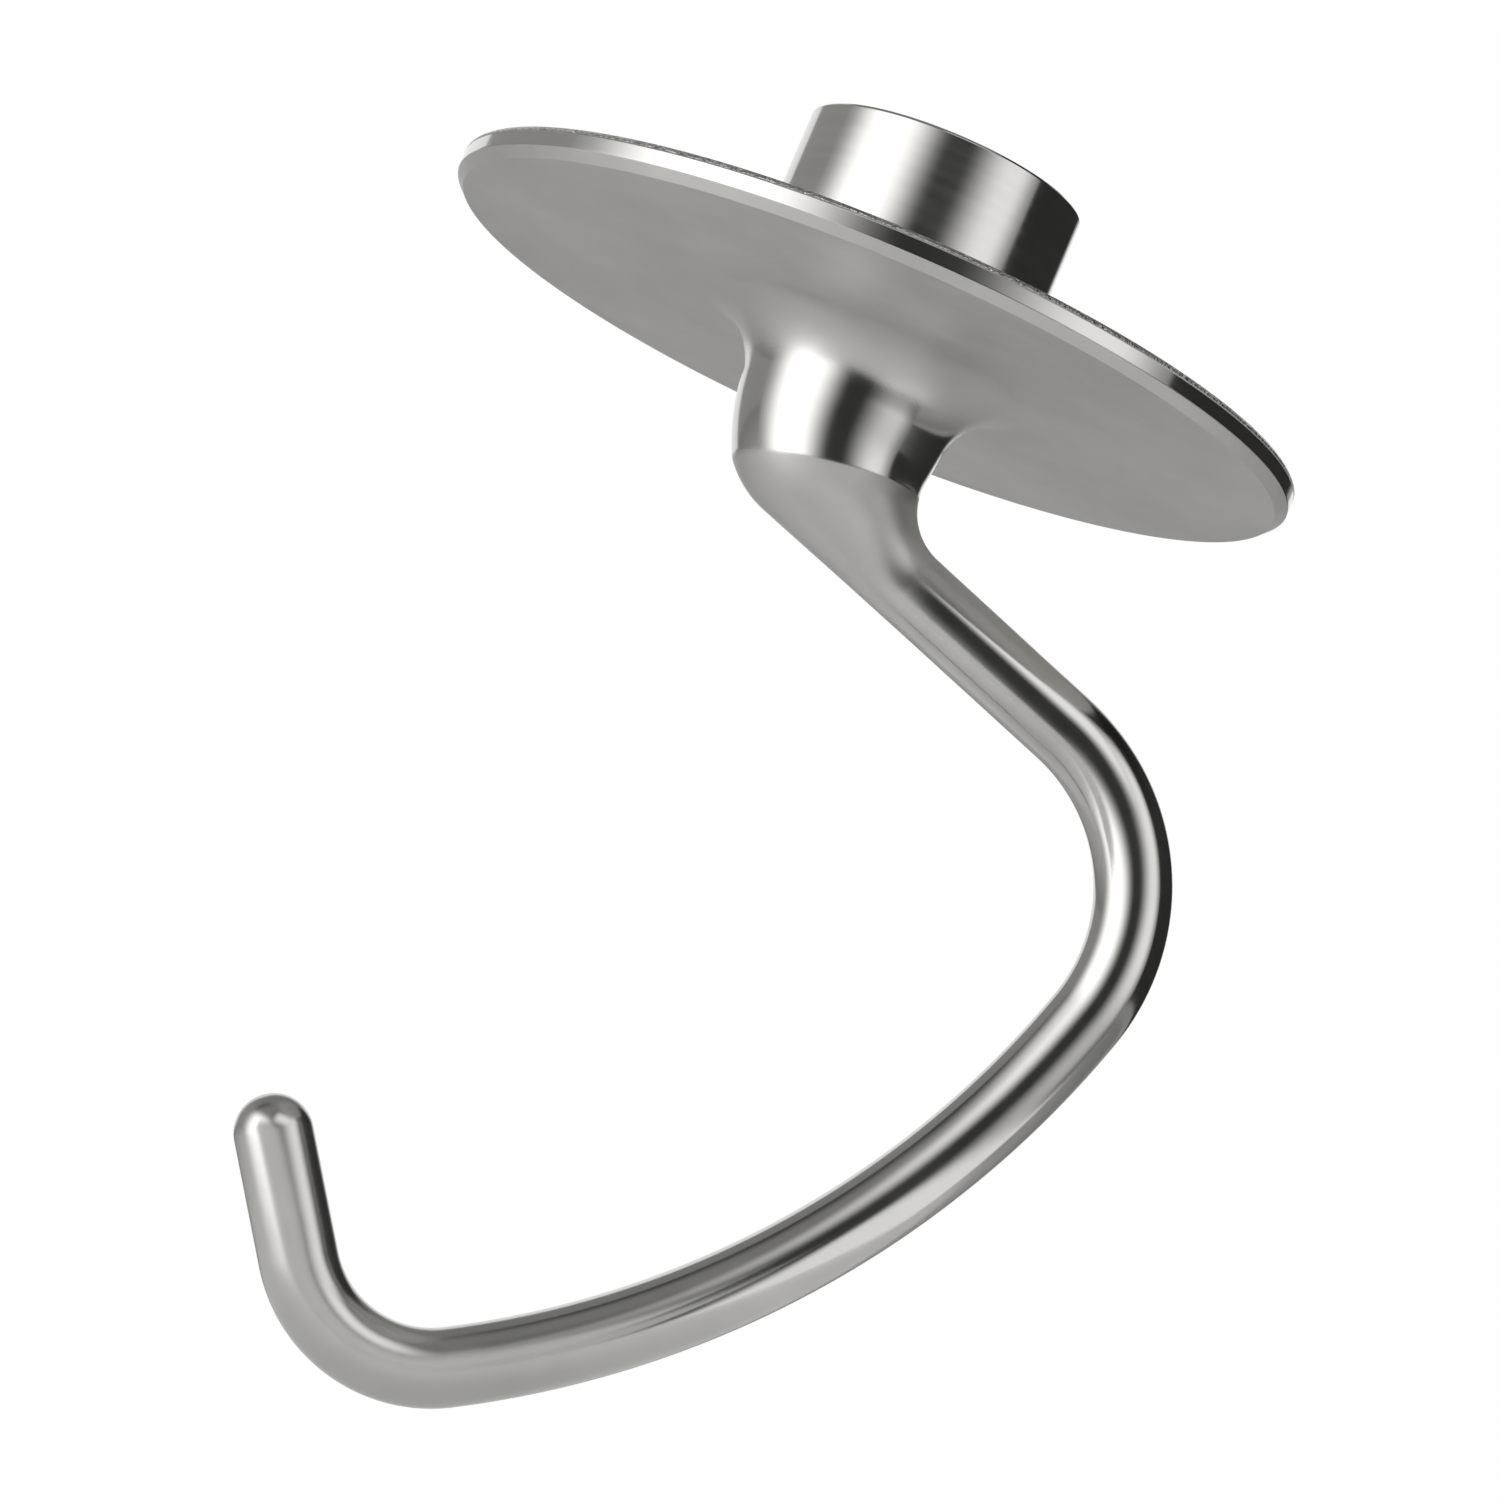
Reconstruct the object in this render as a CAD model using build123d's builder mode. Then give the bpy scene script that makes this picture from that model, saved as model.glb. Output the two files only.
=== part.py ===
from build123d import *
import os
from math import atan2, cos, pi, radians, sin, sqrt, tan

# Dough hook of a 4.3 to 4.8 litre tilt-head stand mixer: one stainless-steel casting, in millimetres.
# The shaft's axis is Z, with the collar on top. The disc's top face lies in the plane Z = 0.
# The rod's curve lies in the XZ plane, with its belly towards +X. The pin slot is at the back, +Y.

# The mixer's shaft, and the cross pin that drives the hook
shaft_d = 12.7
shaft_clearance = 0.1
pin_d = 4.8
pin_clearance = 0.2
pin_drop = 11.0
pin_turn = 35.0
pin_seat_rise = 1.5

# Collar, with a blind drilled bore for the shaft
collar_d = 34.1
collar_h = 21.0
collar_edge = 0.3
bore_depth = 31.0
bore_lead_in = 0.8
drill_point = 118.0

# Disc that keeps the dough off the shaft
disc_d = 105.0
disc_t = 3.6
disc_lower_bevel = 1.2
disc_upper_bevel = 0.4

# Tapered boss under the disc
boss_base_d = 27.5
boss_draft = 8.0
boss_fillet_r = 8.5

# Round rod: straight run, shoulder bend, long belly, toe bend, and the toe that turns up
rod_d = 9.2
rod_droop = 19.7
rod_axis_drop = 17.9
rod_run = 24.0
shoulder_r = 24.6
shoulder_turn = 87.3
belly_r = 114.0
belly_turn = 43.0
toe_bend_r = 15.5
toe_bend_turn = 85.5
toe_length = 14.7

# Neck from the boss into the rod: a throat above it, a rounded nose below, a crease where the boss ends
throat_r = 7.3
nose_r = 12.0
nose_offset = -0.3
crease_angle = 9.5
side_steps = 2
nose_steps = 6

collar_r = collar_d / 2
disc_r = disc_d / 2
boss_base_r = boss_base_d / 2
rod_r = rod_d / 2
bore_r = shaft_d / 2 + shaft_clearance
slot_r = pin_d / 2 + pin_clearance
underside = -disc_t
rod_axis_z = underside - rod_axis_drop
rod_end_angle = 90 - rod_droop

# The throat's centre is one throat radius away from the boss's side and from the rod's upper side.
draft_slope = tan(radians(boss_draft))
droop_slope = tan(radians(rod_droop))
throat_rise = (rod_r + throat_r) / cos(radians(rod_droop))
throat_x = (
    boss_base_r + throat_r / cos(radians(boss_draft)) + draft_slope * (throat_rise - rod_axis_drop)
) / (1 + draft_slope * droop_slope)
throat_z = rod_axis_z + throat_rise - throat_x * droop_slope

# The nose's round lies on the line of the rod's lower side.
nose_z = rod_axis_z + (nose_r - rod_r) / cos(radians(rod_droop)) - nose_offset * droop_slope
nose_foot_angle = atan2(
    throat_z - nose_z + nose_r * cos(radians(rod_droop)),
    throat_x - nose_offset + nose_r * sin(radians(rod_droop)),
)


def boss_radius(z):
    """Radius of the boss's tapered side at this height."""
    return boss_base_r + (z - underside) * draft_slope


def nose_reach(angle):
    """Distance from the throat's centre to the far side of the neck, down a ray at this angle."""
    if radians(angle) > nose_foot_angle:
        return (rod_d + throat_r) / cos(radians(rod_end_angle - angle))
    away_x, away_z = throat_x - nose_offset, throat_z - nose_z
    along = away_x * cos(radians(angle)) + away_z * sin(radians(angle))
    across = away_x * sin(radians(angle)) - away_z * cos(radians(angle))
    return along + sqrt(nose_r**2 - across**2)


# The first oval is the one that its plane cuts from the boss's taper, so the two meet without a step.
first_left_z = (
    throat_z + draft_slope * (throat_x + boss_base_r - underside * draft_slope)
) / (1 - draft_slope**2)
first_reach = (throat_x + boss_radius(first_left_z)) / cos(radians(boss_draft))
first_width = sqrt(
    boss_radius(first_left_z) * boss_radius(throat_z + throat_r * sin(radians(boss_draft)))
)
crease_reach = nose_reach(crease_angle)
crease_width = boss_radius(throat_z - throat_x * tan(radians(crease_angle)))


def side_oval(share):
    """Angle, reach and half width of an oval on the boss's side, this share of the way down."""
    angle = -boss_draft + share * (crease_angle + boss_draft)
    reach = first_reach + share * (crease_reach - first_reach)
    return angle, reach, first_width + share * (crease_width - first_width)


def nose_oval(share):
    """Angle, reach and half width of an oval of the nose, this share of the way to the rod."""
    angle = crease_angle + share * (rod_end_angle - crease_angle)
    return angle, nose_reach(angle), rod_r + (crease_width - rod_r) * (1 - sin(share * pi / 2))


def fan_plane(angle):
    """Plane through the throat's centre and square to XZ, with its X down the ray at this angle."""
    ray = (-cos(radians(angle)), 0, -sin(radians(angle)))
    normal = (sin(radians(angle)), 0, -cos(radians(angle)))
    return Plane(origin=(throat_x, 0, throat_z), x_dir=ray, z_dir=normal)


with BuildPart() as dough_hook:
    # Collar, disc and boss are one turned form.
    collar_top = (collar_r, collar_h)
    disc_top_edge = (disc_r, 0)
    disc_low_edge = (disc_r, underside)
    boss_root = (boss_base_r, underside)
    boss_end_z = throat_z - throat_r
    with BuildSketch(Plane.XZ):
        with BuildLine():
            Polyline(
                (0, collar_h),
                collar_top,
                (collar_r, 0),
                disc_top_edge,
                disc_low_edge,
                boss_root,
                (boss_radius(boss_end_z), boss_end_z),
                (0, boss_end_z),
                close=True,
            )
        make_face()
        chamfer(vertices().sort_by_distance(collar_top)[0], collar_edge)
        chamfer(vertices().sort_by_distance(disc_top_edge)[0], disc_upper_bevel)
        chamfer(vertices().sort_by_distance(disc_low_edge)[0], disc_lower_bevel)
        fillet(vertices().sort_by_distance(boss_root)[0], boss_fillet_r)
    revolve(axis=Axis.Z)
    split(bisect_by=fan_plane(-boss_draft), keep=Keep.BOTTOM)

    # The boss's side runs on down to the crease, and the nose from there into the rod.
    # Each of the two is lofted upwards, from its lowest oval to its highest.
    for oval, steps in ((side_oval, side_steps), (nose_oval, nose_steps)):
        for step in reversed(range(steps + 1)):
            angle, reach, half_width = oval(step / steps)
            with BuildSketch(fan_plane(angle)):
                with Locations(((throat_r + reach) / 2, 0)):
                    Ellipse((reach - throat_r) / 2, half_width)
        loft()

    # Rod, swept from the neck's last oval to the toe, which ends in a half ball
    neck_end = fan_plane(rod_end_angle)
    rod_start = neck_end.from_local_coords((throat_r + rod_r, 0, 0))
    with BuildLine(Plane.XZ):
        run = Line(rod_start, rod_start + neck_end.z_dir * rod_run)
        shoulder = JernArc(run @ 1, run % 1, shoulder_r, -shoulder_turn)
        belly = JernArc(shoulder @ 1, shoulder % 1, belly_r, -belly_turn)
        toe_bend = JernArc(belly @ 1, belly % 1, toe_bend_r, -toe_bend_turn)
        toe = Line(toe_bend @ 1, toe_bend @ 1 + (toe_bend % 1) * toe_length)
    with BuildSketch(Plane(origin=rod_start, x_dir=neck_end.x_dir, z_dir=neck_end.z_dir)):
        Circle(rod_r)
    sweep()
    with BuildSketch(Plane(origin=toe @ 1, x_dir=toe % 1, z_dir=(0, 1, 0))):
        Circle(rod_r)
        Rectangle(rod_r, rod_r, align=Align.MIN, mode=Mode.INTERSECT)
    revolve(axis=Axis(toe @ 1, toe % 1))

    # Blind bore with a lead-in at its mouth and the drill's cone at its end
    bore_end = collar_h - bore_depth
    with BuildSketch(Plane.XZ):
        with BuildLine():
            Polyline(
                (0, collar_h),
                (bore_r + bore_lead_in, collar_h),
                (bore_r, collar_h - bore_lead_in),
                (bore_r, bore_end),
                (0, bore_end - bore_r / tan(radians(drill_point / 2))),
                close=True,
            )
        make_face()
    revolve(axis=Axis.Z, mode=Mode.SUBTRACT)

    # Hooked slot for the cross pin: down from the mouth, round by pin_turn, and up into the seat
    pin_z = collar_h - pin_drop
    for azimuth, leg in ((90, pin_drop + slot_r), (90 - pin_turn, pin_seat_rise)):
        outward = (cos(radians(azimuth)), sin(radians(azimuth)), 0)
        with BuildSketch(Plane(origin=(0, 0, pin_z), x_dir=(0, 0, 1), z_dir=outward)):
            with Locations((leg / 2, 0)):
                SlotCenterToCenter(leg, 2 * slot_r)
        extrude(amount=collar_d, mode=Mode.SUBTRACT)
    with BuildSketch(Plane.XY.offset(pin_z - slot_r)):
        with BuildLine():
            sweep_of_pin = CenterArc((0, 0), collar_d, 90 - pin_turn, pin_turn)
            Line(sweep_of_pin @ 1, (0, 0))
            Line((0, 0), sweep_of_pin @ 0)
        make_face()
    extrude(amount=2 * slot_r, mode=Mode.SUBTRACT)

dough_hook.part.label = "dough_hook"
os.makedirs("parts", exist_ok=True)
export_step(dough_hook.part, "parts/dough_hook.step")
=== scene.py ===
import bpy
import numpy as np
from math import atan2, cos, pi, radians, sin, sqrt, tan
from mathutils import Matrix


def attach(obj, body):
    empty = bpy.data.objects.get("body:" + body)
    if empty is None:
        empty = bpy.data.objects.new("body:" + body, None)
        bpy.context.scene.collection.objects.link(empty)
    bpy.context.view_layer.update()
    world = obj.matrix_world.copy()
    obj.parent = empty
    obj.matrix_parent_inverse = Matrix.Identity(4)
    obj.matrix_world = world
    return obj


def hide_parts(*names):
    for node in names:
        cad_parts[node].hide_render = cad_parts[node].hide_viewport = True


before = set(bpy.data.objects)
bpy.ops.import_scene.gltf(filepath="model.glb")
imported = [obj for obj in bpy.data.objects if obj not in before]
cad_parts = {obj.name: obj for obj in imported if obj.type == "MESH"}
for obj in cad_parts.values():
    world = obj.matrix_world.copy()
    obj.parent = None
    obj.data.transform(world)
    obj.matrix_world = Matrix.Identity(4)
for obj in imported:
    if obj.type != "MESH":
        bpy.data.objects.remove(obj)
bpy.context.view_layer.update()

# Camera: it stands 0.69 m in front of the hook and a little below the disc, looks up by 8 degrees, and is
# rolled so that the shaft's axis leans to the left in the picture.
camera_eye = (0.00542, -0.68592, -0.15121)
camera_tilt, camera_roll = radians(8.245), radians(22.97)
camera_lens, camera_sensor = 143.5, 36.0

camera_data = bpy.data.cameras.new("camera")
camera_data.lens, camera_data.sensor_width = camera_lens, camera_sensor
camera_data.clip_start, camera_data.clip_end = 0.05, 20.0
camera = bpy.data.objects.new("camera", camera_data)
bpy.context.collection.objects.link(camera)
camera.matrix_world = (
    Matrix.Translation(camera_eye)
    @ Matrix.Rotation(pi / 2 + camera_tilt, 4, "X")
    @ Matrix.Rotation(camera_roll, 4, "Z")
)
bpy.context.scene.camera = camera
bpy.context.scene.view_settings.view_transform = "Standard"

# Hook: one stainless-steel casting. Collar, disc and boss are turned on the shaft's axis, the boss runs
# through the neck into a round rod, bent in one plane, and the toe ends in a half ball. Its surface is one
# stack of rings from the bottom of the bore to the tip of the toe. Sizes are in millimetres.
MM = 0.001
ring_points = 144

bore_r, bore_lead_in, bore_end, drill_point, first_ring_r = 6.45, 0.8, -10.0, 118.0, 0.35
collar_r, collar_h, collar_edge = 17.05, 21.0, 0.3
disc_r, disc_t, disc_lower_bevel, disc_upper_bevel = 52.5, 3.6, 1.2, 0.4
boss_base_r, boss_draft, boss_fillet_r = 13.75, 8.0, 8.5
rod_r, rod_droop, rod_axis_drop, rod_run = 4.6, 19.7, 17.9, 24.0
rod_bends = ((24.6, 87.3, 88), (114.0, 43.0, 88), (15.5, 85.5, 86))    # radius, turn and rings of each
toe_length = 14.7
run_rings, toe_rings, ball_steps = 24, 16, 24
throat_r, nose_r, nose_offset, crease_angle, crease_round = 7.3, 12.0, -0.3, 9.5, 0.7
side_rings, crease_steps, nose_rings = 26, 11, 84

underside = -disc_t
rod_axis_z = underside - rod_axis_drop
rod_end_angle = 90 - rod_droop
draft_slope, droop_slope = tan(radians(boss_draft)), tan(radians(rod_droop))
throat_rise = (rod_r + throat_r) / cos(radians(rod_droop))
throat_x = (
    boss_base_r + throat_r / cos(radians(boss_draft)) + draft_slope * (throat_rise - rod_axis_drop)
) / (1 + draft_slope * droop_slope)
throat_z = rod_axis_z + throat_rise - throat_x * droop_slope
nose_z = rod_axis_z + (nose_r - rod_r) / cos(radians(rod_droop)) - nose_offset * droop_slope
nose_foot_angle = atan2(
    throat_z - nose_z + nose_r * cos(radians(rod_droop)),
    throat_x - nose_offset + nose_r * sin(radians(rod_droop)),
)
around = np.linspace(0, 2 * pi, ring_points, endpoint=False)


def boss_radius(z):
    """Radius of the boss's tapered side at this height."""
    return boss_base_r + (z - underside) * draft_slope


def nose_reach(angle):
    """Distance from the throat's centre to the far side of the neck: to the nose's round, and past the
    round's foot to the rod's lower side."""
    away_x, away_z = throat_x - nose_offset, throat_z - nose_z
    along = away_x * np.cos(angle) + away_z * np.sin(angle)
    across = away_x * np.sin(angle) - away_z * np.cos(angle)
    on_round = along + np.sqrt(np.maximum(nose_r**2 - across**2, 0))
    on_rod = (2 * rod_r + throat_r) / np.cos(radians(rod_end_angle) - angle)
    return np.where(angle > nose_foot_angle, on_rod, on_round)


first_left_z = (
    throat_z + draft_slope * (throat_x + boss_base_r - underside * draft_slope)
) / (1 - draft_slope**2)
first_reach = (throat_x + boss_radius(first_left_z)) / cos(radians(boss_draft))
first_width = sqrt(
    boss_radius(first_left_z) * boss_radius(throat_z + throat_r * sin(radians(boss_draft)))
)
crease_reach = float(nose_reach(radians(crease_angle)))
crease_width = boss_radius(throat_z - throat_x * tan(radians(crease_angle)))


def neck_law(angle):
    """Reach and half width of the neck's oval at an angle in degrees: linear down the boss's side to the
    crease, then the nose's reach and a quarter sine wave from the crease's width to the rod's."""
    side = (angle + boss_draft) / (crease_angle + boss_draft)
    nose = np.clip((angle - crease_angle) / (rod_end_angle - crease_angle), 0, 1)
    reach = np.where(
        angle < crease_angle,
        first_reach + side * (crease_reach - first_reach),
        nose_reach(np.radians(angle)),
    )
    width = np.where(
        angle < crease_angle,
        first_width + side * (crease_width - first_width),
        rod_r + (crease_width - rod_r) * (1 - np.sin(nose * pi / 2)),
    )
    return reach, width


def neck_rings(angle, reach, width):
    """Ovals in the fan of planes through the throat's centre: half the reach past the throat is the long
    half axis, and the half width lies along Y."""
    angle, reach, width = (np.radians(angle)[:, None], reach[:, None], width[:, None])
    out = (throat_r + reach) / 2 + (reach - throat_r) / 2 * np.cos(around)
    x = throat_x - np.cos(angle) * out
    z = throat_z - np.sin(angle) * out
    return np.stack([x, width * np.sin(around), z], axis=2)


def turned_profile(corners, guard=0.05):
    """Radius and height down a turned profile. Each corner (radius, height, round, steps) becomes an arc
    that touches both runs: start + round * (sin a * run in + (1 - cos a) * side), for a from 0 to the
    turn. A guard point just outside each end of an arc keeps the runs beside it flat."""
    points = [np.array([corners[0][:2]])]
    place = np.array([corner[:2] for corner in corners], float)
    for i in range(1, len(corners) - 1):
        rounding, steps = corners[i][2:]
        run_in, run_out = place[i] - place[i - 1], place[i + 1] - place[i]
        run_in, run_out = run_in / np.hypot(*run_in), run_out / np.hypot(*run_out)
        turn = atan2(run_in[0] * run_out[1] - run_in[1] * run_out[0], run_in @ run_out)
        side = np.sign(turn) * np.array([-run_in[1], run_in[0]])
        start = place[i] - run_in * rounding * tan(abs(turn) / 2)
        a = np.linspace(0, abs(turn), steps + 1)[:, None]
        arc = start + rounding * (np.sin(a) * run_in + (1 - np.cos(a)) * side)
        points += [[arc[0] - guard * run_in], arc, [arc[-1] + guard * run_out]]
    return np.concatenate(points)


drill_slope = tan(radians(drill_point / 2))
taper_guide_z = -30.0
profile = turned_profile((
    (first_ring_r, bore_end - (bore_r - first_ring_r) / drill_slope, 0, 0),
    (bore_r, bore_end, 0.3, 4),
    (bore_r, collar_h - bore_lead_in, 0.2, 4),
    (bore_r + bore_lead_in, collar_h, 0.2, 4),
    (collar_r - collar_edge, collar_h, 0.15, 4),
    (collar_r, collar_h - collar_edge, 0.15, 4),
    (collar_r, 0, 0.35, 8),
    (disc_r - disc_upper_bevel, 0, 0.15, 4),
    (disc_r, -disc_upper_bevel, 0.2, 4),
    (disc_r, underside + disc_lower_bevel, 0.3, 6),
    (disc_r - disc_lower_bevel, underside, 0.25, 6),
    (boss_base_r, underside, boss_fillet_r, 44),
    (boss_radius(taper_guide_z), taper_guide_z, 0, 0),
))

# The neck's rings. The crease is rounded by a parabola between the laws of the two sides.
side_angles = np.linspace(-boss_draft, crease_angle - crease_round, side_rings)
nose_angles = np.linspace(crease_angle + crease_round, rod_end_angle, nose_rings)
crease_share = np.linspace(0, 1, crease_steps + 1)[1:-1]
bend = np.array([(1 - crease_share) ** 2, 2 * crease_share * (1 - crease_share), crease_share**2])
crease_ends = np.array([-crease_round, 0, crease_round]) + crease_angle
crease_laws = [law @ bend for law in (crease_ends, *neck_law(crease_ends))]
neck = np.concatenate([
    neck_rings(side_angles, *neck_law(side_angles)),
    neck_rings(*crease_laws),
    neck_rings(nose_angles, *neck_law(nose_angles)),
])

# The turned rings have the azimuths of the neck's first oval, so that the boss's taper is ruled straight.
azimuth = np.arctan2(neck[0, :, 1], neck[0, :, 0])
turned = np.stack([
    profile[:, :1] * np.cos(azimuth),
    profile[:, :1] * np.sin(azimuth),
    np.repeat(profile[:, 1:], ring_points, axis=1),
], axis=2)
taper_share = np.array([0.1, 0.3, 0.5, 0.7, 0.9])[:, None, None]
taper = turned[-1] + taper_share * (neck[0] - turned[-1])


def rod_centres():
    """Centre line of the rod and its heading, from the neck to the toe: a line, three arcs that turn
    clockwise and touch each other, and a line."""
    heading = -radians(rod_droop)
    out = throat_r + rod_r
    here = np.array([
        throat_x - cos(radians(rod_end_angle)) * out, throat_z - sin(radians(rod_end_angle)) * out
    ])
    places, headings = [], []
    steps = np.linspace(0, rod_run, run_rings + 1)[1:, None]
    places.append(here + steps * [cos(heading), sin(heading)])
    headings.append(np.full(run_rings, heading))
    here = places[-1][-1]
    for radius, turn, count in rod_bends:
        turned_by = np.linspace(0, radians(turn), count + 1)[1:]
        centre = here + radius * np.array([sin(heading), -cos(heading)])
        headings.append(heading - turned_by)
        places.append(centre - radius * np.stack([np.sin(headings[-1]), -np.cos(headings[-1])], axis=1))
        here, heading = places[-1][-1], headings[-1][-1]
    steps = np.linspace(0, toe_length, toe_rings + 1)[1:, None]
    places.append(here + steps * [cos(heading), sin(heading)])
    headings.append(np.full(toe_rings, heading))
    return np.concatenate(places), np.concatenate(headings)


def rod_rings(centres, headings, radii):
    """Circles square to the rod's centre line: one axis is the heading turned clockwise, the other +Y."""
    out = np.asarray(radii)[..., None] * np.cos(around)
    x = centres[:, :1] + np.sin(headings)[:, None] * out
    z = centres[:, 1:] - np.cos(headings)[:, None] * out
    y = np.broadcast_to(np.asarray(radii)[..., None] * np.sin(around), x.shape)
    return np.stack([x, y, z], axis=2)


centres, headings = rod_centres()
rod = rod_rings(centres, headings, np.full(len(centres), rod_r))
ball = np.linspace(0, pi / 2, ball_steps + 1)[1:-1]
toe_way = np.array([cos(headings[-1]), sin(headings[-1])])
ball_centres = centres[-1] + rod_r * np.sin(ball)[:, None] * toe_way
ball_rings = rod_rings(ball_centres, np.full(len(ball), headings[-1]), rod_r * np.cos(ball))
rings = np.concatenate([turned, taper, neck, rod, ball_rings]) * MM
bore_bottom = np.array([0, 0, bore_end - bore_r / drill_slope]) * MM
tip = centres[-1] + rod_r * toe_way
toe_tip = np.array([tip[0], 0, tip[1]]) * MM

# Finish of each band of quads between two rings: turned down to the disc's upper edge, then the rim's, and
# polished from the lower bevel on.
turned_finish, rim_finish, polished_finish, milled_finish = range(4)
rim_first = int(np.argmax(profile[:, 0] > disc_r - disc_upper_bevel - 0.01))
at_bevel = profile[:, 1] < underside + disc_lower_bevel
rim_last = int(np.argmax(at_bevel & (np.arange(len(profile)) > rim_first)))
band = np.arange(len(rings) - 1)
below_top = np.where(band < rim_last, rim_finish, polished_finish)
band_finish = np.where(band < rim_first, turned_finish, below_top)

# Straightened coordinates, in metres: across each ring in the rod's plane, across it along Y, and the way
# down the skin. The finishes change at the crease, at the rod's start and just past the belly's end.
ring_centres = np.concatenate([
    np.stack([np.zeros(len(profile)), profile[:, 1] * MM], axis=1),
    taper.mean(axis=1)[:, [0, 2]] * MM,
    neck.mean(axis=1)[:, [0, 2]] * MM,
    centres * MM,
    ball_centres * MM,
])
off_centre = np.hypot(rings[:, :, 0] - ring_centres[:, :1], rings[:, :, 2] - ring_centres[:, 1:])
across = np.stack([np.copysign(off_centre, np.cos(around)), rings[:, :, 1]], axis=2)
way_down = np.concatenate([[0], np.cumsum(np.linalg.norm(np.diff(rings, axis=0), axis=2).mean(axis=1))])
neck_ring = len(profile) + len(taper)
crease_ring = neck_ring + len(side_angles) + len(crease_share) // 2
rod_ring = neck_ring + len(neck)
belly_end_ring = rod_ring + run_rings + rod_bends[0][2] + rod_bends[1][2] + 1
crease_way, rod_way, belly_end_way = way_down[[crease_ring, rod_ring, belly_end_ring]].tolist()


def ring_mesh(name, rings, down, first_pole, last_pole):
    """A closed skin over a stack of rings: point j of ring i joins its neighbours in a quad, and each end
    ring closes in triangles on its pole. The UV map is the share of the way round and the metres down."""
    count, points = rings.shape[:2]
    vertices = np.concatenate([rings.reshape(-1, 3), [first_pole, last_pole]])
    i, j = np.meshgrid(np.arange(count - 1), np.arange(points), indexing="ij")
    k = (j + 1) % points
    quads = np.stack([i * points + j, i * points + k, (i + 1) * points + k, (i + 1) * points + j], axis=2)
    u = np.stack([j, j + 1, j + 1, j], axis=2) / points
    v = np.stack([down[i], down[i], down[i + 1], down[i + 1]], axis=2)
    j, k = np.arange(points), (np.arange(points) + 1) % points
    last = (count - 1) * points
    first_fan = np.stack([np.full(points, count * points), k, j], axis=1)
    last_fan = np.stack([last + j, last + k, np.full(points, count * points + 1)], axis=1)
    fan_u = np.stack([j + 0.5, j + 1, j], axis=1) / points
    tip_u = np.stack([j, j + 1, j + 0.5], axis=1) / points
    corners = np.concatenate([quads.ravel(), first_fan.ravel(), last_fan.ravel()])
    sizes = np.concatenate([np.full(quads.size // 4, 4), np.full(2 * points, 3)])
    u = np.concatenate([u.ravel(), fan_u.ravel(), tip_u.ravel()])
    v = np.concatenate([v.ravel(), np.zeros(3 * points), np.full(3 * points, down[-1])])
    mesh = bpy.data.meshes.new(name)
    mesh.vertices.add(len(vertices))
    mesh.vertices.foreach_set("co", vertices.ravel())
    mesh.loops.add(len(corners))
    mesh.loops.foreach_set("vertex_index", corners.astype(np.int32))
    mesh.polygons.add(len(sizes))
    mesh.polygons.foreach_set("loop_start", np.concatenate([[0], np.cumsum(sizes)[:-1]]).astype(np.int32))
    mesh.update(calc_edges=True)
    mesh.uv_layers.new(name="round_and_down").data.foreach_set("uv", np.stack([u, v], axis=1).ravel())
    return mesh


hook_mesh = ring_mesh("hook", rings, way_down, bore_bottom, toe_tip)
hook_mesh.polygons.foreach_set("material_index", np.concatenate([
    np.repeat(band_finish, ring_points),
    np.full(ring_points, turned_finish),
    np.full(ring_points, polished_finish),
]).astype(np.int32))
corner_vertex = np.empty(len(hook_mesh.loops), np.int32)
hook_mesh.loops.foreach_get("vertex_index", corner_vertex)
hook_mesh.uv_layers.new(name="across").data.foreach_set(
    "uv", np.concatenate([across.reshape(-1, 2), np.zeros((2, 2))])[corner_vertex].ravel()
)
hook = bpy.data.objects.new("hook", hook_mesh)
bpy.context.collection.objects.link(hook)

# Hooked slot for the shaft's cross pin, milled through the collar's wall at the back: down from the mouth,
# round by 35 degrees, and up into the seat. Three cutters take it out of the skin. Sizes in millimetres.
slot_r, pin_z, pin_drop, pin_turn, pin_seat_rise = 2.6, 10.0, 11.0, 35.0, 1.5
cutter_reach, end_points, turn_points = 20.0, 33, 36


def prism(name, outline, way):
    """A closed prism: the outline, anticlockwise as seen from the far end, and the same outline moved by
    the way, joined by quads."""
    count = len(outline)
    here, next_one = np.arange(count), (np.arange(count) + 1) % count
    sides = np.stack([here, next_one, next_one + count, here + count], axis=1)
    faces = [list(here[::-1]), list(here + count)] + sides.tolist()
    mesh = bpy.data.meshes.new(name)
    mesh.from_pydata(np.concatenate([outline, outline + way]) * MM, [], faces)
    for layer in ("round_and_down", "across"):
        mesh.uv_layers.new(name=layer)
    mesh.polygons.foreach_set("material_index", np.full(len(faces), milled_finish, np.int32))
    cutter = bpy.data.objects.new(name, mesh)
    bpy.context.collection.objects.link(cutter)
    return cutter


def slot_leg(name, azimuth, leg):
    """Upright slot with round ends, from the shaft's axis outwards: half a turn of the end mill below,
    and half a turn this far above it."""
    outward = np.array([cos(radians(azimuth)), sin(radians(azimuth)), 0])
    across = np.array([-outward[1], outward[0], 0])
    turn = np.concatenate([np.linspace(pi, 2 * pi, end_points), np.linspace(0, pi, end_points)])
    height = pin_z + slot_r * np.sin(turn) + leg * (np.arange(len(turn)) >= end_points)
    outline = slot_r * np.cos(turn)[:, None] * across + height[:, None] * [0, 0, 1]
    return prism(name, outline, cutter_reach * outward)


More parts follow.
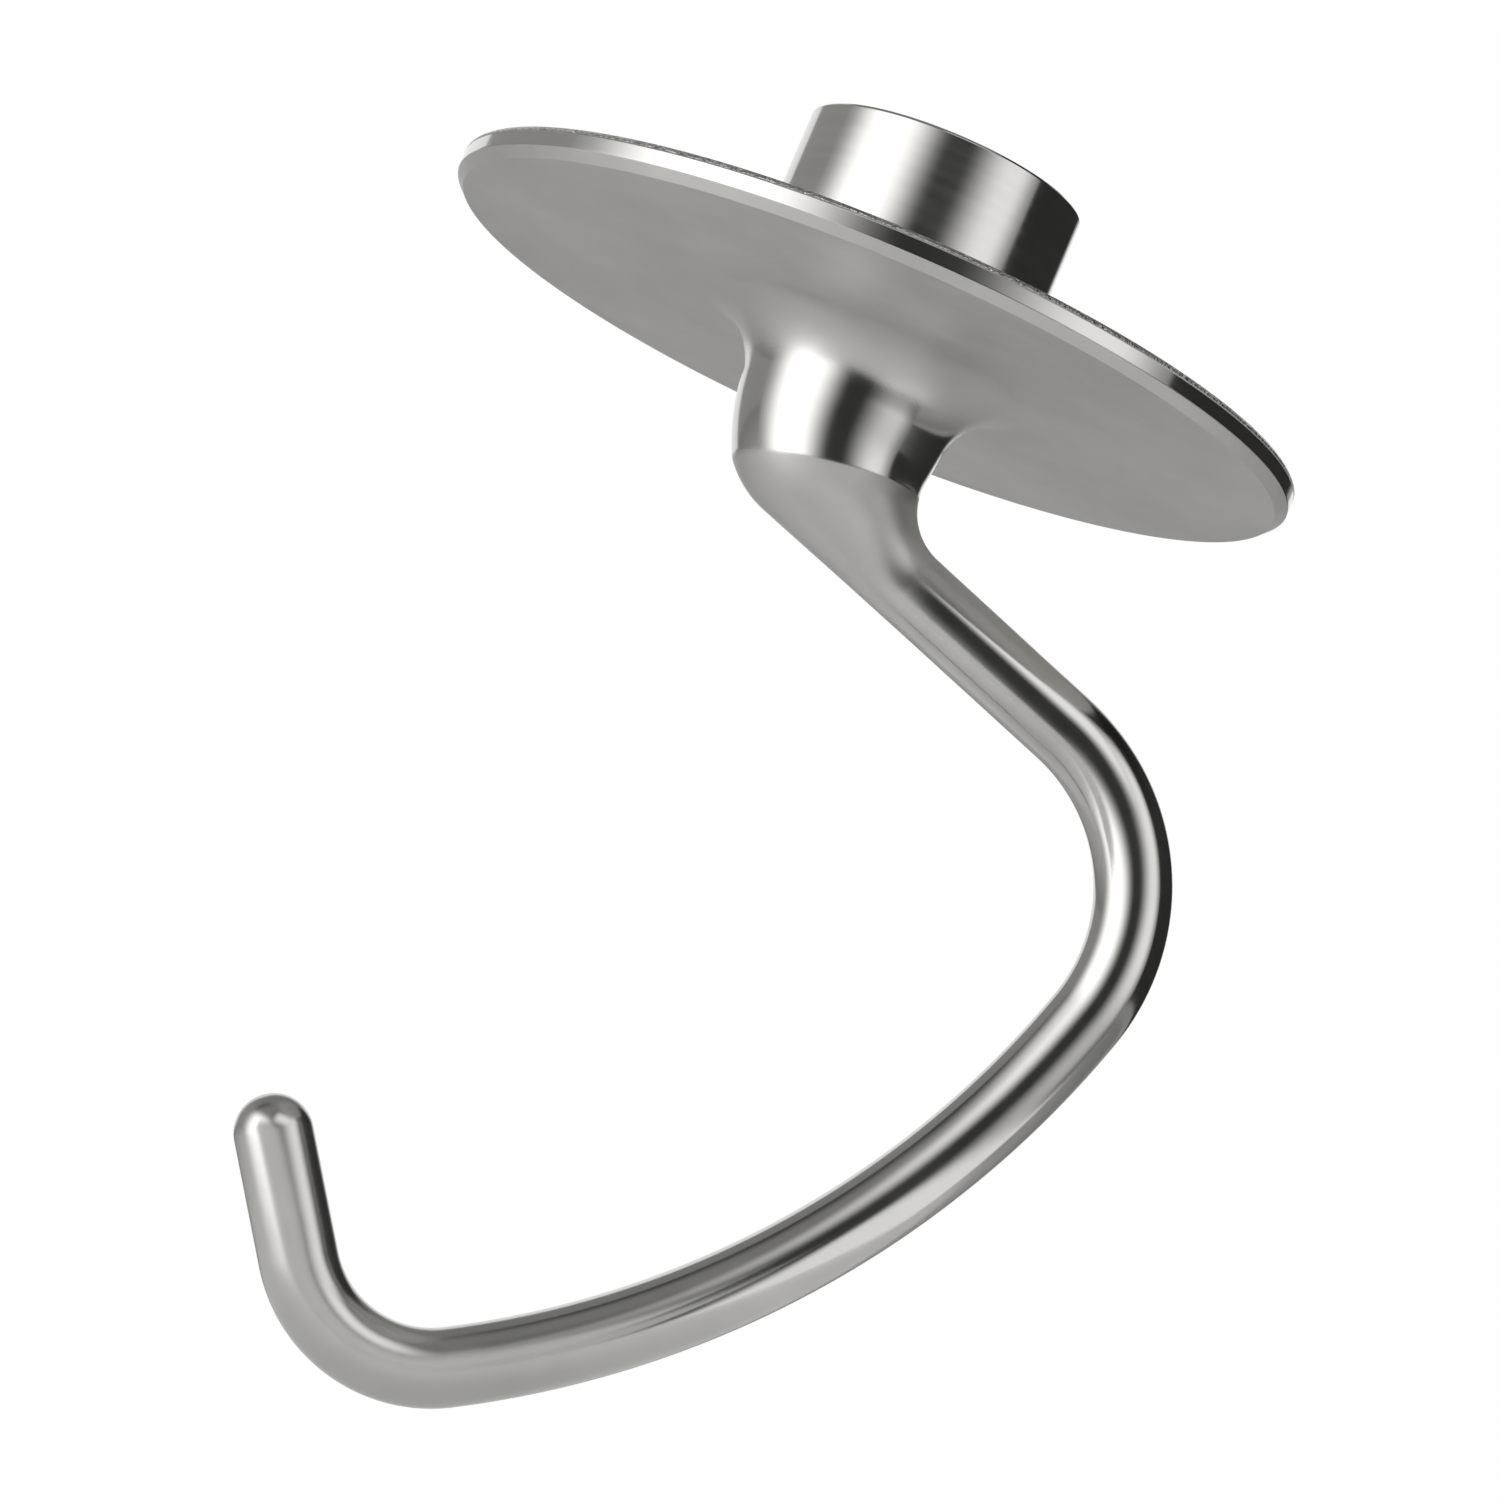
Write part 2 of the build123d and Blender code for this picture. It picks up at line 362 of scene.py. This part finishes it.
slot_floor = pin_z - slot_r
sweep_turn = np.radians(np.linspace(90 - pin_turn, 90, turn_points))
sweep_outline = np.stack([
    cutter_reach * np.cos(sweep_turn), cutter_reach * np.sin(sweep_turn), np.full(turn_points, slot_floor)
], axis=1)
sweep_outline = np.concatenate([[[0, 0, slot_floor]], sweep_outline])
cutters = [
    slot_leg("slot_entry", 90, pin_drop + slot_r),
    slot_leg("slot_seat", 90 - pin_turn, pin_seat_rise),
    prism("slot_turn", sweep_outline, np.array([0, 0, 2 * slot_r])),
]
for cutter in cutters:
    cut = hook.modifiers.new(cutter.name, "BOOLEAN")
    cut.operation, cut.solver, cut.material_mode, cut.object = "DIFFERENCE", "EXACT", "INDEX", cutter
evaluated = hook.evaluated_get(bpy.context.evaluated_depsgraph_get())
hook.data = bpy.data.meshes.new_from_object(evaluated)
hook.modifiers.clear()
for cutter in cutters:
    bpy.data.objects.remove(cutter)
bpy.data.meshes.remove(hook_mesh)
hook_mesh = hook.data
hook_mesh.name = "hook"
hook_mesh.shade_smooth()
hook_mesh.set_sharp_from_angle(angle=radians(24))

# Finishes of the hook. The collar, the bore and the disc's top keep their round turning marks. The rim is
# turned brighter, with a rough, sparkling upper edge. The rest is polished, and satin on the underside, on
# the nose and a little towards the toe. The slot is milled.
steel_colour = (0.610, 0.604, 0.590)


def put(tree, kind, inputs=None, **settings):
    """Adds a node. settings are its own properties, and inputs gives each socket a value or a link."""
    made = tree.nodes.new(kind)
    for name, value in settings.items():
        setattr(made, name, value)
    for name, value in (inputs or {}).items():
        if isinstance(value, bpy.types.NodeSocket):
            tree.links.new(value, made.inputs[name])
        else:
            made.inputs[name].default_value = value
    return made


def maths(tree, operation, first, second):
    """Output of a Math node on two values or sockets."""
    return put(tree, "ShaderNodeMath", {0: first, 1: second}, operation=operation).outputs[0]


def soft_step(tree, value, low, high, start=0.0, end=1.0):
    """Smooth ramp from start, at low, to end, at high."""
    return put(tree, "ShaderNodeMapRange", {
        "Value": value, "From Min": low, "From Max": high, "To Min": start, "To Max": end,
    }, interpolation_type="SMOOTHSTEP").outputs["Result"]


def new_group(name, inputs, outputs):
    """An empty node group with these inputs, name to kind and default, and value outputs."""
    group = bpy.data.node_groups.new(name, "ShaderNodeTree")
    for socket_name, (kind, value) in inputs.items():
        socket = group.interface.new_socket(socket_name, in_out="INPUT", socket_type=kind)
        if value is not None:
            socket.default_value = value
    for socket_name in outputs:
        group.interface.new_socket(socket_name, in_out="OUTPUT", socket_type="NodeSocketFloat")
    return group, group.nodes.new("NodeGroupInput").outputs, group.nodes.new("NodeGroupOutput")


def mark_outputs(group, place, slow_place, end):
    """Height is fine noise along the marks, with sparse deeper scratches. Tone is broader and softer."""
    fine = put(group, "ShaderNodeTexNoise", {
        "Vector": place, "Detail": 3.0, "Roughness": 0.65, "Scale": 1.0,
    })
    broad = put(group, "ShaderNodeTexNoise", {"Vector": slow_place, "Detail": 2.0, "Scale": 1.0})
    scratch = soft_step(group, fine.outputs["Fac"], 0.62, 0.78)
    height = maths(group, "SUBTRACT", fine.outputs["Fac"], maths(group, "MULTIPLY", scratch, 0.5))
    group.links.new(height, end.inputs["Height"])
    group.links.new(soft_step(group, broad.outputs["Fac"], 0.3, 0.7), end.inputs["Tone"])


# Turning marks run round the shaft's axis: the pattern changes fast with height and radius, slowly round.
turning_marks, start, end = new_group(
    "turning_marks", {"Place": ("NodeSocketVector", None), "Pitch": ("NodeSocketFloat", 5000.0)},
    ("Height", "Tone"),
)
axes = put(turning_marks, "ShaderNodeSeparateXYZ", {"Vector": start["Place"]}).outputs
flat = put(turning_marks, "ShaderNodeCombineXYZ", {"X": axes["X"], "Y": axes["Y"]}).outputs[0]
out = put(turning_marks, "ShaderNodeVectorMath", {0: flat}, operation="LENGTH").outputs["Value"]
feed = maths(turning_marks, "SUBTRACT", axes["Z"], maths(turning_marks, "MULTIPLY", out, 1.3))
feed = maths(turning_marks, "MULTIPLY", feed, start["Pitch"])
slow_x = maths(turning_marks, "MULTIPLY", axes["X"], 25.0)
slow_y = maths(turning_marks, "MULTIPLY", axes["Y"], 25.0)
mark_outputs(
    turning_marks,
    put(turning_marks, "ShaderNodeCombineXYZ", {"X": slow_x, "Y": slow_y, "Z": feed}).outputs[0],
    put(turning_marks, "ShaderNodeCombineXYZ", {
        "X": slow_x, "Y": slow_y, "Z": maths(turning_marks, "MULTIPLY", feed, 0.17)
    }).outputs[0],
    end,
)

# Polishing marks run down the hook: fast across each ring, slowly along the way travelled.
polishing_marks, start, end = new_group(
    "polishing_marks", {"Place": ("NodeSocketVector", None), "Pitch": ("NodeSocketFloat", 3000.0)},
    ("Height", "Tone"),
)
scaled = put(polishing_marks, "ShaderNodeVectorMath", {
    0: start["Place"], "Scale": start["Pitch"]
}, operation="SCALE").outputs[0]
stretched = [
    put(polishing_marks, "ShaderNodeVectorMath", {0: scaled, 1: stretch}, operation="MULTIPLY").outputs[0]
    for stretch in ((1, 1, 0.03), (0.2, 0.2, 0.01))
]
mark_outputs(polishing_marks, *stretched, end)

# Clouding: soft patches where the polish came out a little duller or brighter.
clouding, start, end = new_group(
    "clouding", {"Place": ("NodeSocketVector", None), "Patches": ("NodeSocketFloat", 120.0)}, ("Level",),
)
patches = put(clouding, "ShaderNodeTexNoise", {
    "Vector": start["Place"], "Scale": start["Patches"], "Detail": 4.0, "Roughness": 0.55,
})
clouding.links.new(soft_step(clouding, patches.outputs["Fac"], 0.32, 0.68), end.inputs["Level"])


def straightened_place(tree):
    """The way down the skin, and the place in straightened coordinates, from the hook's two UV maps."""
    down = put(tree, "ShaderNodeSeparateXYZ", {
        "Vector": put(tree, "ShaderNodeUVMap", uv_map="round_and_down").outputs["UV"]
    }).outputs["Y"]
    off = put(tree, "ShaderNodeSeparateXYZ", {
        "Vector": put(tree, "ShaderNodeUVMap", uv_map="across").outputs["UV"]
    }).outputs
    return down, put(tree, "ShaderNodeCombineXYZ", {"X": off["X"], "Y": off["Y"], "Z": down}).outputs[0]


def bare_steel(name, place, marks, pitch, patches):
    """A metal material with its marks and clouding, read at this place, and its sockets for the rest."""
    material = bpy.data.materials.new(name)
    material.use_nodes = True
    tree = material.node_tree
    shader = tree.nodes["Principled BSDF"]
    shader.inputs["Metallic"].default_value = 1.0
    if place == "straightened":
        at = straightened_place(tree)[1]
    else:
        at = put(tree, "ShaderNodeTexCoord").outputs["Object"]
    mark = put(tree, "ShaderNodeGroup", node_tree=marks)
    tree.links.new(at, mark.inputs["Place"])
    mark.inputs["Pitch"].default_value = pitch
    cloud = put(tree, "ShaderNodeGroup", node_tree=clouding)
    tree.links.new(at, cloud.inputs["Place"])
    cloud.inputs["Patches"].default_value = patches
    return material, tree, shader, mark.outputs, cloud.outputs["Level"]


def tint(tree, shader, share, dark, light):
    """Base colour: the steel's, times a factor that goes from dark to light with the share. The Mix node's
    colour sockets are its inputs 6 and 7 and its output 2."""
    colours = [[level * channel for channel in steel_colour] + [1] for level in (dark, light)]
    mix = put(tree, "ShaderNodeMix", {"Factor": share, 6: colours[0], 7: colours[1]}, data_type="RGBA")
    tree.links.new(mix.outputs[2], shader.inputs["Base Color"])


def roughness(tree, shader, cloud, low, high, added=0.0):
    """Roughness from low to high with the clouding, and what is added to it."""
    clouded = soft_step(tree, cloud, 0, 1, low, high)
    tree.links.new(maths(tree, "ADD", clouded, added), shader.inputs["Roughness"])


def relief(tree, shader, height):
    """Bump from a height in metres."""
    bump = put(tree, "ShaderNodeBump", {"Height": height, "Distance": 1.0, "Strength": 1.0})
    tree.links.new(bump.outputs["Normal"], shader.inputs["Normal"])


# Turned steel: the collar, the bore and the disc's top. Its highlight is stretched across the marks.
turned_steel, tree, shader, marks, cloud = bare_steel("turned_steel", "object", turning_marks, 4000.0, 90.0)
shader.inputs["Anisotropic"].default_value = 0.25
shader.inputs["Anisotropic Rotation"].default_value = 0.25
tree.links.new(
    put(tree, "ShaderNodeTangent", direction_type="UV_MAP", uv_map="round_and_down").outputs[0],
    shader.inputs["Tangent"],
)
tint(tree, shader, marks["Tone"], 0.97, 1.02)
roughness(tree, shader, cloud, 0.11, 0.14, maths(tree, "MULTIPLY", marks["Tone"], 0.03))
relief(tree, shader, maths(tree, "MULTIPLY", marks["Height"], 2e-6))

# Rim steel: its upper edge, from 0.55 mm under the disc's top face upwards, is darker and coarse.
rim_steel, tree, shader, marks, cloud = bare_steel("rim_steel", "object", turning_marks, 5000.0, 140.0)
where = put(tree, "ShaderNodeTexCoord").outputs["Object"]
height = put(tree, "ShaderNodeSeparateXYZ", {"Vector": where}).outputs["Z"]
rough_edge = soft_step(tree, height, -0.75 * MM, -0.55 * MM)
grain = put(tree, "ShaderNodeTexNoise", {"Vector": where, "Scale": 2000.0, "Detail": 2.0, "Roughness": 0.6})
tint(tree, shader, rough_edge, 1.0, 0.75)
roughness(tree, shader, cloud, 0.09, 0.13, maths(tree, "MULTIPLY", rough_edge, 0.06))
coarse = maths(tree, "MULTIPLY", maths(tree, "MULTIPLY", grain.outputs["Fac"], rough_edge), 6e-4)
relief(tree, shader, maths(tree, "ADD", coarse, maths(tree, "MULTIPLY", marks["Height"], 1e-6)))

# Polished steel. Where it is satin, more roughness is added: on the disc's underside, down to 10.5 mm below
# the top face, on the nose from the crease to the rod's start, and a little from the belly's end on.
polished_steel, tree, shader, marks, cloud = bare_steel(
    "polished_steel", "straightened", polishing_marks, 3000.0, 110.0
)
height = put(tree, "ShaderNodeSeparateXYZ", {
    "Vector": put(tree, "ShaderNodeTexCoord").outputs["Object"]
}).outputs["Z"]
way, place = straightened_place(tree)
on_disc = soft_step(tree, height, -10.5 * MM, -6 * MM, 0, 0.34)
past_crease = soft_step(tree, way, crease_way - 0.4 * MM, crease_way + 0.4 * MM)
before_rod = soft_step(tree, way, rod_way - 5 * MM, rod_way + 4 * MM, 0.3, 0)
on_nose = maths(tree, "MULTIPLY", past_crease, before_rod)
on_toe = soft_step(tree, way, belly_end_way - 30 * MM, belly_end_way + 8 * MM, 0, 0.1)
satin = maths(tree, "MAXIMUM", on_disc, maths(tree, "MAXIMUM", on_nose, on_toe))
broad = put(tree, "ShaderNodeGroup", {"Place": place, "Patches": 32.0}, node_tree=clouding)
shade = maths(tree, "ADD", cloud, maths(tree, "MULTIPLY", broad.outputs["Level"], 2))
tint(tree, shader, maths(tree, "MULTIPLY", shade, 1 / 3), 0.9, 1.03)
roughness(tree, shader, cloud, 0.12, 0.15, satin)
relief(tree, shader, maths(tree, "MULTIPLY", marks["Height"], 1e-6))

# Milled steel: the walls of the slot.
milled_steel, tree, shader, marks, cloud = bare_steel(
    "milled_steel", "object", turning_marks, 2500.0, 200.0
)
tint(tree, shader, marks["Tone"], 0.9, 1.0)
roughness(tree, shader, cloud, 0.3, 0.4)
relief(tree, shader, maths(tree, "MULTIPLY", marks["Height"], 8e-6))

for finish in (turned_steel, rim_steel, polished_steel, milled_steel):
    hook_mesh.materials.append(finish)
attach(hook, "root")
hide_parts("dough_hook")

# Floor: a pale, matt disc, 0.65 m below the hook's disc. It lies outside the picture, and the steel mirrors
# it. Sizes in metres, as for all that follows.
floor_z, floor_r = -0.65, 7.0


def level_disc(name, x, z, radius, corners=96):
    """A level disc at this height, with its centre on the X axis."""
    turn = np.linspace(0, 2 * pi, corners, endpoint=False)
    edge = np.stack([x + radius * np.cos(turn), radius * np.sin(turn), np.full(corners, z)], axis=1)
    mesh = bpy.data.meshes.new(name)
    mesh.from_pydata(edge, [], [list(range(corners))])
    disc = bpy.data.objects.new(name, mesh)
    bpy.context.collection.objects.link(disc)
    return disc


def plain_paint(name, level):
    """A matt paint of one grey, from 0 to 1."""
    paint = bpy.data.materials.new(name)
    paint.use_nodes = True
    shader = paint.node_tree.nodes["Principled BSDF"]
    shader.inputs["Base Color"].default_value = (level, level, level, 1)
    shader.inputs["Roughness"].default_value = 0.9
    shader.inputs["Specular IOR Level"].default_value = 0.1
    return paint


floor = level_disc("floor", 0, floor_z, floor_r)
floor.data.materials.append(plain_paint("floor_paint", 0.85))

# Tent: lit cloth round the front, bright at the left and the right and dark between. It is an upright
# cylinder that is drawn in, below the height of 0, to a foot on the floor. Azimuth 0 is towards the camera
# and 90 towards +X. Its UV map is the azimuth in degrees and the height in metres.
tent_r, tent_top, tent_gap = 1.7, 2.9, 0.01
foot_azimuths, foot_radii = (-98, -55, 0, 77), (0.33, 0.36, 0.65, 1.25)
tent_columns, foot_rows = 88, 9
left_light = (2.1, (
    ("X", -98, -62, 0.22, 1), ("X", -46, -3, 1, 0.02),
    ("Y", 0.3, 1.1, 1, 0.12), ("Y", floor_z, -0.4, 0.75, 1),
))
right_light = (1.2, (
    ("X", 10, 50, 0.03, 1), ("X", 58, 78, 1, 0.3),
    ("Y", 1.6, 2.9, 1, 0.3), ("Y", -0.5, 0.3, 0.4, 1),
))
upper_light = (1.3, (
    ("X", -22, -8, 0, 1), ("X", 30, 55, 1, 0),
    ("Y", 0.42, 1.3, 0.02, 1), ("Y", 1.7, 2.9, 1, 0.4),
))


def faded(tree, level, axes, ramps):
    """A level times a soft ramp for each (axis, from, to, start, end)."""
    for axis, *ramp in ramps:
        level = maths(tree, "MULTIPLY", level, soft_step(tree, axes[axis], *ramp))
    return level


def glow(name, layers):
    """Lit cloth: the brightest of some layers, each a peak radiance with its ramps over the UV map."""
    light = bpy.data.materials.new(name)
    light.use_nodes = True
    tree = light.node_tree
    tree.nodes.clear()
    axes = put(tree, "ShaderNodeSeparateXYZ", {
        "Vector": put(tree, "ShaderNodeUVMap", uv_map="azimuth_and_height").outputs["UV"]
    }).outputs
    strength = 0.0
    for peak, ramps in layers:
        strength = maths(tree, "MAXIMUM", strength, faded(tree, peak, axes, ramps))
    emission = put(tree, "ShaderNodeEmission", {"Color": (1, 1, 1, 1), "Strength": strength})
    put(tree, "ShaderNodeOutputMaterial", {"Surface": emission.outputs[0]})
    return light


tent_azimuth = np.linspace(foot_azimuths[0], foot_azimuths[-1], tent_columns)
tent_foot = np.interp(tent_azimuth, foot_azimuths, foot_radii)
tent_height = np.append(np.linspace(floor_z + tent_gap, 0, foot_rows), tent_top)
drawn_in = np.clip(tent_height / floor_z, 0, 1)[:, None]
tent_out = tent_r + drawn_in * (tent_foot - tent_r)
columns, rows = len(tent_azimuth), len(tent_height)
tent_points = np.stack([
    tent_out * np.sin(np.radians(tent_azimuth)),
    -tent_out * np.cos(np.radians(tent_azimuth)),
    np.repeat(tent_height[:, None], columns, axis=1),
], axis=2)
row, column = np.meshgrid(np.arange(rows - 1), np.arange(columns - 1), indexing="ij")
first = row * columns + column
tent_faces = np.stack([first, first + columns, first + columns + 1, first + 1], axis=2).reshape(-1, 4)
tent_uv = np.stack([np.tile(tent_azimuth, rows), np.repeat(tent_height, columns)], axis=1)
tent_mesh = bpy.data.meshes.new("tent")
tent_mesh.from_pydata(tent_points.reshape(-1, 3), [], tent_faces.tolist())
azimuth_and_height = tent_mesh.uv_layers.new(name="azimuth_and_height")
azimuth_and_height.data.foreach_set("uv", tent_uv[tent_faces.ravel()].ravel())
tent_mesh.materials.append(glow("tent_light", (left_light, right_light, upper_light)))
tent = bpy.data.objects.new("tent", tent_mesh)
bpy.context.collection.objects.link(tent)

# Plinth: a disc of milky plastic under the toe and the sweep, lit from behind. It grows clear towards its
# edge, so that the edge doesn't show where the steel mirrors it.
plinth_x, plinth_z, plinth_r, plinth_milky_r = 0.06, -0.16, 0.2, 0.12


def lit_plastic(name, strength):
    """Milky plastic, lit from behind: its material, node tree, shader and Object coordinates."""
    plastic = plain_paint(name, 0.4)
    shader = plastic.node_tree.nodes["Principled BSDF"]
    shader.inputs["Emission Color"].default_value = (1, 1, 1, 1)
    shader.inputs["Emission Strength"].default_value = strength
    at = put(plastic.node_tree, "ShaderNodeTexCoord").outputs["Object"]
    return plastic, plastic.node_tree, shader, at


plinth = level_disc("plinth", plinth_x, plinth_z, plinth_r)
plastic, tree, shader, at = lit_plastic("plinth_plastic", 0.38)
out = put(tree, "ShaderNodeVectorMath", {0: at, 1: (plinth_x, 0, plinth_z)}, operation="DISTANCE")
milky = soft_step(tree, out.outputs["Value"], plinth_milky_r, plinth_r, 1, 0)
tree.links.new(milky, shader.inputs["Alpha"])
plinth.data.materials.append(plastic)

# Near cards: three upright sheets of the same plastic, close to the toe and the sweep, which mirror them.
# Each is given by its azimuth, distance, width, bottom and top, its strength, and the ramps along X or Z by
# which it grows clear.
near_cards = (
    ("toe_card", (-14, 0.12, 0.17, plinth_z, -0.095), 0.38, (("Z", -0.125, -0.095, 1, 0),)),
    ("sweep_card", (50, 0.14, 0.2, plinth_z, -0.095), 0.85,
     (("X", 0.059, 0.089, 0, 1), ("Z", -0.12, -0.095, 1, 0))),
    ("tip_card", (-24, 0.085, 0.12, -0.14, -0.08), 0.5,
     (("Z", -0.105, -0.08, 1, 0), ("Z", -0.14, -0.125, 0, 1))),
)


def standing_sheet(name, azimuth, distance, width, bottom, top):
    """An upright sheet that faces the shaft's axis."""
    out = np.array([sin(radians(azimuth)), -cos(radians(azimuth))])
    across = np.array([cos(radians(azimuth)), sin(radians(azimuth))])
    share = np.array([(0, 1), (1, 1), (1, 0), (0, 0)], float)
    flat = out * distance + (share[:, :1] - 0.5) * width * across
    mesh = bpy.data.meshes.new(name)
    mesh.from_pydata(np.column_stack([flat, bottom + share[:, 1] * (top - bottom)]), [], [(0, 1, 2, 3)])
    sheet = bpy.data.objects.new(name, mesh)
    bpy.context.collection.objects.link(sheet)
    return sheet


mirrored_only = [tent, plinth]
for name, place, strength, ramps in near_cards:
    card = standing_sheet(name, *place)
    plastic, tree, shader, at = lit_plastic(name + "_plastic", strength)
    axes = put(tree, "ShaderNodeSeparateXYZ", {"Vector": at}).outputs
    tree.links.new(faded(tree, 1.0, axes, ramps), shader.inputs["Alpha"])
    card.data.materials.append(plastic)
    mirrored_only.append(card)

# Dark cards: an upright one at the right and a level one high above, in dark, matt paint, which the steel
# mirrors. Like the tent, the plinth and the near cards they are hidden from the camera and cast no shadow.
ceiling_x, ceiling_y, ceiling_z = (0.7, 2.4), (-1.2, 1.8), 3.0
dark = plain_paint("dark_card", 0.05)
side_card = standing_sheet("side_card", 115.5, 2.0, 3.18, -0.06, 3.2)
ceiling_mesh = bpy.data.meshes.new("ceiling_card")
ceiling_mesh.from_pydata([
    (ceiling_x[0], ceiling_y[0], ceiling_z), (ceiling_x[0], ceiling_y[1], ceiling_z),
    (ceiling_x[1], ceiling_y[1], ceiling_z), (ceiling_x[1], ceiling_y[0], ceiling_z),
], [], [(0, 1, 2, 3)])
ceiling_card = bpy.data.objects.new("ceiling_card", ceiling_mesh)
bpy.context.collection.objects.link(ceiling_card)
for card in (side_card, ceiling_card):
    card.data.materials.append(dark)
for sheet in (*mirrored_only, side_card, ceiling_card):
    sheet.visible_camera = False
    sheet.visible_shadow = False

# Backdrop: an upright sheet behind the hook. The camera and the steel's mirroring see it as plain white,
# whatever light falls on it, and for all other light it is matt white paint.
backdrop = standing_sheet("backdrop", 188.5, 2.6, 2.85, -0.28, 2.0)
white = bpy.data.materials.new("backdrop_white")
white.use_nodes = True
tree = white.node_tree
tree.nodes.clear()
path = put(tree, "ShaderNodeLightPath").outputs
seen = maths(tree, "MAXIMUM", path["Is Camera Ray"], path["Is Glossy Ray"])
seen = maths(tree, "MAXIMUM", seen, path["Is Transmission Ray"])
mix = put(tree, "ShaderNodeMixShader", {
    0: seen,
    1: put(tree, "ShaderNodeBsdfDiffuse", {"Color": (0.9, 0.9, 0.9, 1)}).outputs[0],
    2: put(tree, "ShaderNodeEmission", {"Strength": 1.0}).outputs[0],
})
put(tree, "ShaderNodeOutputMaterial", {"Surface": mix.outputs[0]})
backdrop.data.materials.append(white)

# Overhead lamp: a soft, square light, 2.6 m up. It brightens the floor, and the steel doesn't mirror it.
lamp_data = bpy.data.lights.new("overhead_lamp", "AREA")
lamp_data.shape, lamp_data.size, lamp_data.energy = "SQUARE", 1.2, 28.0
lamp = bpy.data.objects.new("overhead_lamp", lamp_data)
lamp.location = (0, 0, 2.6)
lamp.visible_glossy = False
bpy.context.collection.objects.link(lamp)

# Surroundings: an even grey light from all round, a little darker from above.
world = bpy.data.worlds.new("studio")
bpy.context.scene.world = world
world.use_nodes = True
tree = world.node_tree
tree.nodes.clear()
up = put(tree, "ShaderNodeSeparateXYZ", {"Vector": put(tree, "ShaderNodeTexCoord").outputs["Generated"]})
level = soft_step(tree, up.outputs["Z"], 0.2, 0.8, 0.44, 0.32)
background = put(tree, "ShaderNodeBackground", {"Strength": level})
put(tree, "ShaderNodeOutputWorld", {"Surface": background.outputs[0]})
